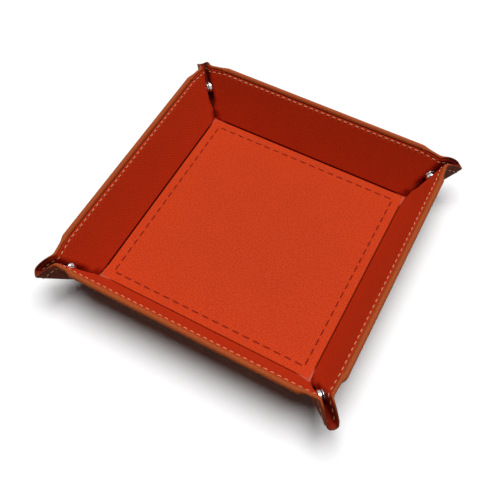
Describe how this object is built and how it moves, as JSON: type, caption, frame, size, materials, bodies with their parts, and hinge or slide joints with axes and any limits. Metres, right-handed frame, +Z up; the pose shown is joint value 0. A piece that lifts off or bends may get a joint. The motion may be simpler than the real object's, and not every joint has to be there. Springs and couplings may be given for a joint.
{
  "type": "folding dice tray",
  "caption": "Square folding dice tray of stitched red imitation leather over stiffener boards, with sides held up by press snaps at pinched corners.",
  "frame": {"origin": "middle of the underside of the base, on the surface that the tray stands on", "axes": "+Z up, +X to the right wall, +Y to the back wall"},
  "size_m": [0.2212, 0.2212, 0.0412],
  "materials": {
    "lining_leather": "fine grained, semi-matt red-orange imitation leather",
    "cover_leather": "fine grained, semi-matt red imitation leather, tan at the turned rim",
    "board": "grey-brown stiffener board",
    "nickel": "bright nickel plated brass",
    "spring_steel": "spring wire"
  },
  "bodies": {
    "base": {"base_cover": "cover_leather", "base_board": "board", "base_lining": "lining_leather"},
    "right_wall": {"right_wall_cover": "cover_leather", "right_wall_board": "board", "right_wall_lining": "lining_leather"},
    "back_wall": {"back_wall_cover": "cover_leather", "back_wall_board": "board", "back_wall_lining": "lining_leather"},
    "left_wall": {"left_wall_cover": "cover_leather", "left_wall_board": "board", "left_wall_lining": "lining_leather"},
    "front_wall": {"front_wall_cover": "cover_leather", "front_wall_board": "board", "front_wall_lining": "lining_leather"},
    "right_wall_back_ear": {"right_wall_back_ear_cover": "cover_leather", "right_wall_back_ear_lining": "lining_leather", "right_back_snap_cap": "nickel", "right_back_snap_socket": "nickel", "right_back_snap_spring": "spring_steel"},
    "right_wall_front_ear": {"right_wall_front_ear_cover": "cover_leather", "right_wall_front_ear_lining": "lining_leather", "front_right_snap_stud": "nickel", "front_right_snap_eyelet": "nickel"},
    "back_wall_left_ear": {"back_wall_left_ear_cover": "cover_leather", "back_wall_left_ear_lining": "lining_leather", "back_left_snap_cap": "nickel", "back_left_snap_socket": "nickel", "back_left_snap_spring": "spring_steel"},
    "back_wall_right_ear": {"back_wall_right_ear_cover": "cover_leather", "back_wall_right_ear_lining": "lining_leather", "right_back_snap_stud": "nickel", "right_back_snap_eyelet": "nickel"},
    "left_wall_front_ear": {"left_wall_front_ear_cover": "cover_leather", "left_wall_front_ear_lining": "lining_leather", "left_front_snap_cap": "nickel", "left_front_snap_socket": "nickel", "left_front_snap_spring": "spring_steel"},
    "left_wall_back_ear": {"left_wall_back_ear_cover": "cover_leather", "left_wall_back_ear_lining": "lining_leather", "back_left_snap_stud": "nickel", "back_left_snap_eyelet": "nickel"},
    "front_wall_right_ear": {"front_wall_right_ear_cover": "cover_leather", "front_wall_right_ear_lining": "lining_leather", "front_right_snap_cap": "nickel", "front_right_snap_socket": "nickel", "front_right_snap_spring": "spring_steel"},
    "front_wall_left_ear": {"front_wall_left_ear_cover": "cover_leather", "front_wall_left_ear_lining": "lining_leather", "left_front_snap_stud": "nickel", "left_front_snap_eyelet": "nickel"}
  },
  "joints": [
    {"name": "fold_right", "type": "hinge", "parent": "base", "child": "right_wall", "pos_m": [0.083, 0, 0.0005], "axis": [0, 1, 0], "range_deg": [0, 62]},
    {"name": "fold_back", "type": "hinge", "parent": "base", "child": "back_wall", "pos_m": [0, 0.083, 0.0005], "axis": [-1, 0, 0], "range_deg": [0, 62]},
    {"name": "fold_left", "type": "hinge", "parent": "base", "child": "left_wall", "pos_m": [-0.083, 0, 0.0005], "axis": [0, -1, 0], "range_deg": [0, 62]},
    {"name": "fold_front", "type": "hinge", "parent": "base", "child": "front_wall", "pos_m": [0, -0.083, 0.0005], "axis": [1, 0, 0], "range_deg": [0, 62]},
    {"name": "open_right_back", "type": "hinge", "parent": "right_wall", "child": "right_wall_back_ear", "pos_m": [0.07966, 0.07492, 0.0005], "axis": [0.425, 0.425, 0.7993], "range_deg": [0, 51.38]},
    {"name": "open_right_front", "type": "hinge", "parent": "right_wall", "child": "right_wall_front_ear", "pos_m": [0.07966, -0.07492, 0.0005], "axis": [-0.425, 0.425, -0.7993], "range_deg": [0, 51.38]},
    {"name": "open_back_left", "type": "hinge", "parent": "back_wall", "child": "back_wall_left_ear", "pos_m": [-0.07492, 0.07966, 0.0005], "axis": [-0.425, 0.425, 0.7993], "range_deg": [0, 51.38]},
    {"name": "open_back_right", "type": "hinge", "parent": "back_wall", "child": "back_wall_right_ear", "pos_m": [0.07492, 0.07966, 0.0005], "axis": [-0.425, -0.425, -0.7993], "range_deg": [0, 51.38]},
    {"name": "open_left_front", "type": "hinge", "parent": "left_wall", "child": "left_wall_front_ear", "pos_m": [-0.07966, -0.07492, 0.0005], "axis": [-0.425, -0.425, 0.7993], "range_deg": [0, 51.38]},
    {"name": "open_left_back", "type": "hinge", "parent": "left_wall", "child": "left_wall_back_ear", "pos_m": [-0.07966, 0.07492, 0.0005], "axis": [0.425, -0.425, -0.7993], "range_deg": [0, 51.38]},
    {"name": "open_front_right", "type": "hinge", "parent": "front_wall", "child": "front_wall_right_ear", "pos_m": [0.07492, -0.07966, 0.0005], "axis": [0.425, -0.425, 0.7993], "range_deg": [0, 51.38]},
    {"name": "open_front_left", "type": "hinge", "parent": "front_wall", "child": "front_wall_left_ear", "pos_m": [-0.07492, -0.07966, 0.0005], "axis": [0.425, 0.425, -0.7993], "range_deg": [0, 51.38]}
  ],
  "couplings": [
    {"joint": "fold_back", "follows": "fold_right", "ratio": 1},
    {"joint": "fold_left", "follows": "fold_right", "ratio": 1},
    {"joint": "fold_front", "follows": "fold_right", "ratio": 1},
    {"joint": "open_right_back", "follows": "fold_right", "ratio": 0.82849},
    {"joint": "open_right_front", "follows": "fold_right", "ratio": 0.82849},
    {"joint": "open_back_left", "follows": "fold_right", "ratio": 0.82849},
    {"joint": "open_back_right", "follows": "fold_right", "ratio": 0.82849},
    {"joint": "open_left_front", "follows": "fold_right", "ratio": 0.82849},
    {"joint": "open_left_back", "follows": "fold_right", "ratio": 0.82849},
    {"joint": "open_front_right", "follows": "fold_right", "ratio": 0.82849},
    {"joint": "open_front_left", "follows": "fold_right", "ratio": 0.82849}
  ]
}
